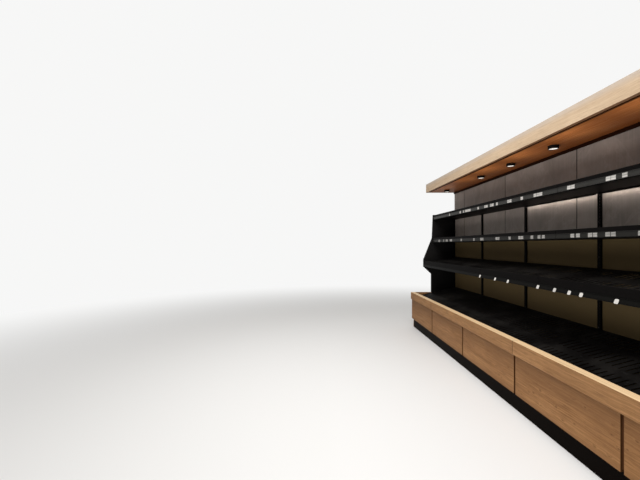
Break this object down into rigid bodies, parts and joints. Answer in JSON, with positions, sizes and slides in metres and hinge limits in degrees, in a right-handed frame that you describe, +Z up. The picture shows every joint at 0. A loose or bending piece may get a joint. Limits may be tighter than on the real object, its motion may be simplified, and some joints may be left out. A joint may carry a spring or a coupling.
{
  "type": "produce wall display",
  "caption": "Wall-side produce display: oak-faced base with sloped slotted decks, black steel shelves with ticket rails, panelled stone-look back and an oak canopy with downlights.",
  "frame": {"origin": "middle of the base's footprint, on the floor", "axes": "+X along the run to the right seen from the front, +Y to the wall behind, +Z up"},
  "size_m": [5, 0.782, 2.36],
  "materials": {
    "oak": "matt lacquered oak veneer",
    "oak_pale": "pale matt oak",
    "soffit_wood": "satin red-brown wood veneer",
    "carcass_brown": "dark-stained board",
    "toe_black": "black laminate",
    "gable_black": "black lacquered board",
    "riser_brown": "dark olive-brown laminate",
    "black_steel": "black powder coat",
    "ticket_plastic": "dark grey extruded plastic",
    "foot_plastic": "black moulded plastic",
    "stone": "honed grey slab",
    "lamp_black": "black satin",
    "lens": "frosted, lit"
  },
  "bodies": {
    "root": {"toe_kick": "toe_black", "levelling_feet": "foot_plastic", "bottom_board": "carcass_brown", "base_end_left": "oak", "base_end_right": "oak", "partitions": "carcass_brown", "front_panel_1": "oak", "front_panel_2": "oak", "front_panel_3": "oak", "front_panel_4": "oak", "front_panel_5": "oak", "top_rail_1": "oak", "top_rail_2": "oak", "top_rail_3": "oak", "top_rail_4": "oak", "top_rail_5": "oak", "rail_liner": "black_steel", "deck_bearers": "carcass_brown", "produce_deck_1": "black_steel", "produce_deck_2": "black_steel", "produce_deck_3": "black_steel", "produce_deck_4": "black_steel", "produce_deck_5": "black_steel", "back_posts": "black_steel", "back_rails": "black_steel", "riser_panels": "riser_brown", "wall_slabs": "stone", "slotted_channels": "black_steel", "lower_shelf": "black_steel", "lower_front_stops": "black_steel", "lower_brackets": "black_steel", "lower_ticket_rails": "ticket_plastic", "middle_shelf": "black_steel", "middle_brackets": "black_steel", "middle_ticket_rails": "ticket_plastic", "upper_shelf": "black_steel", "upper_brackets": "black_steel", "upper_ticket_rails": "ticket_plastic", "shelf_lights": "lamp_black", "gable_left": "gable_black", "gable_right": "gable_black", "canopy_fascia": "oak_pale", "canopy_soffit": "soffit_wood", "canopy_top": "toe_black", "canopy_ends": "oak_pale", "canopy_arms": "black_steel", "wall_strip": "black_steel", "lamp_bodies": "lamp_black", "lamp_lenses": "lens"}
  },
  "joints": []
}
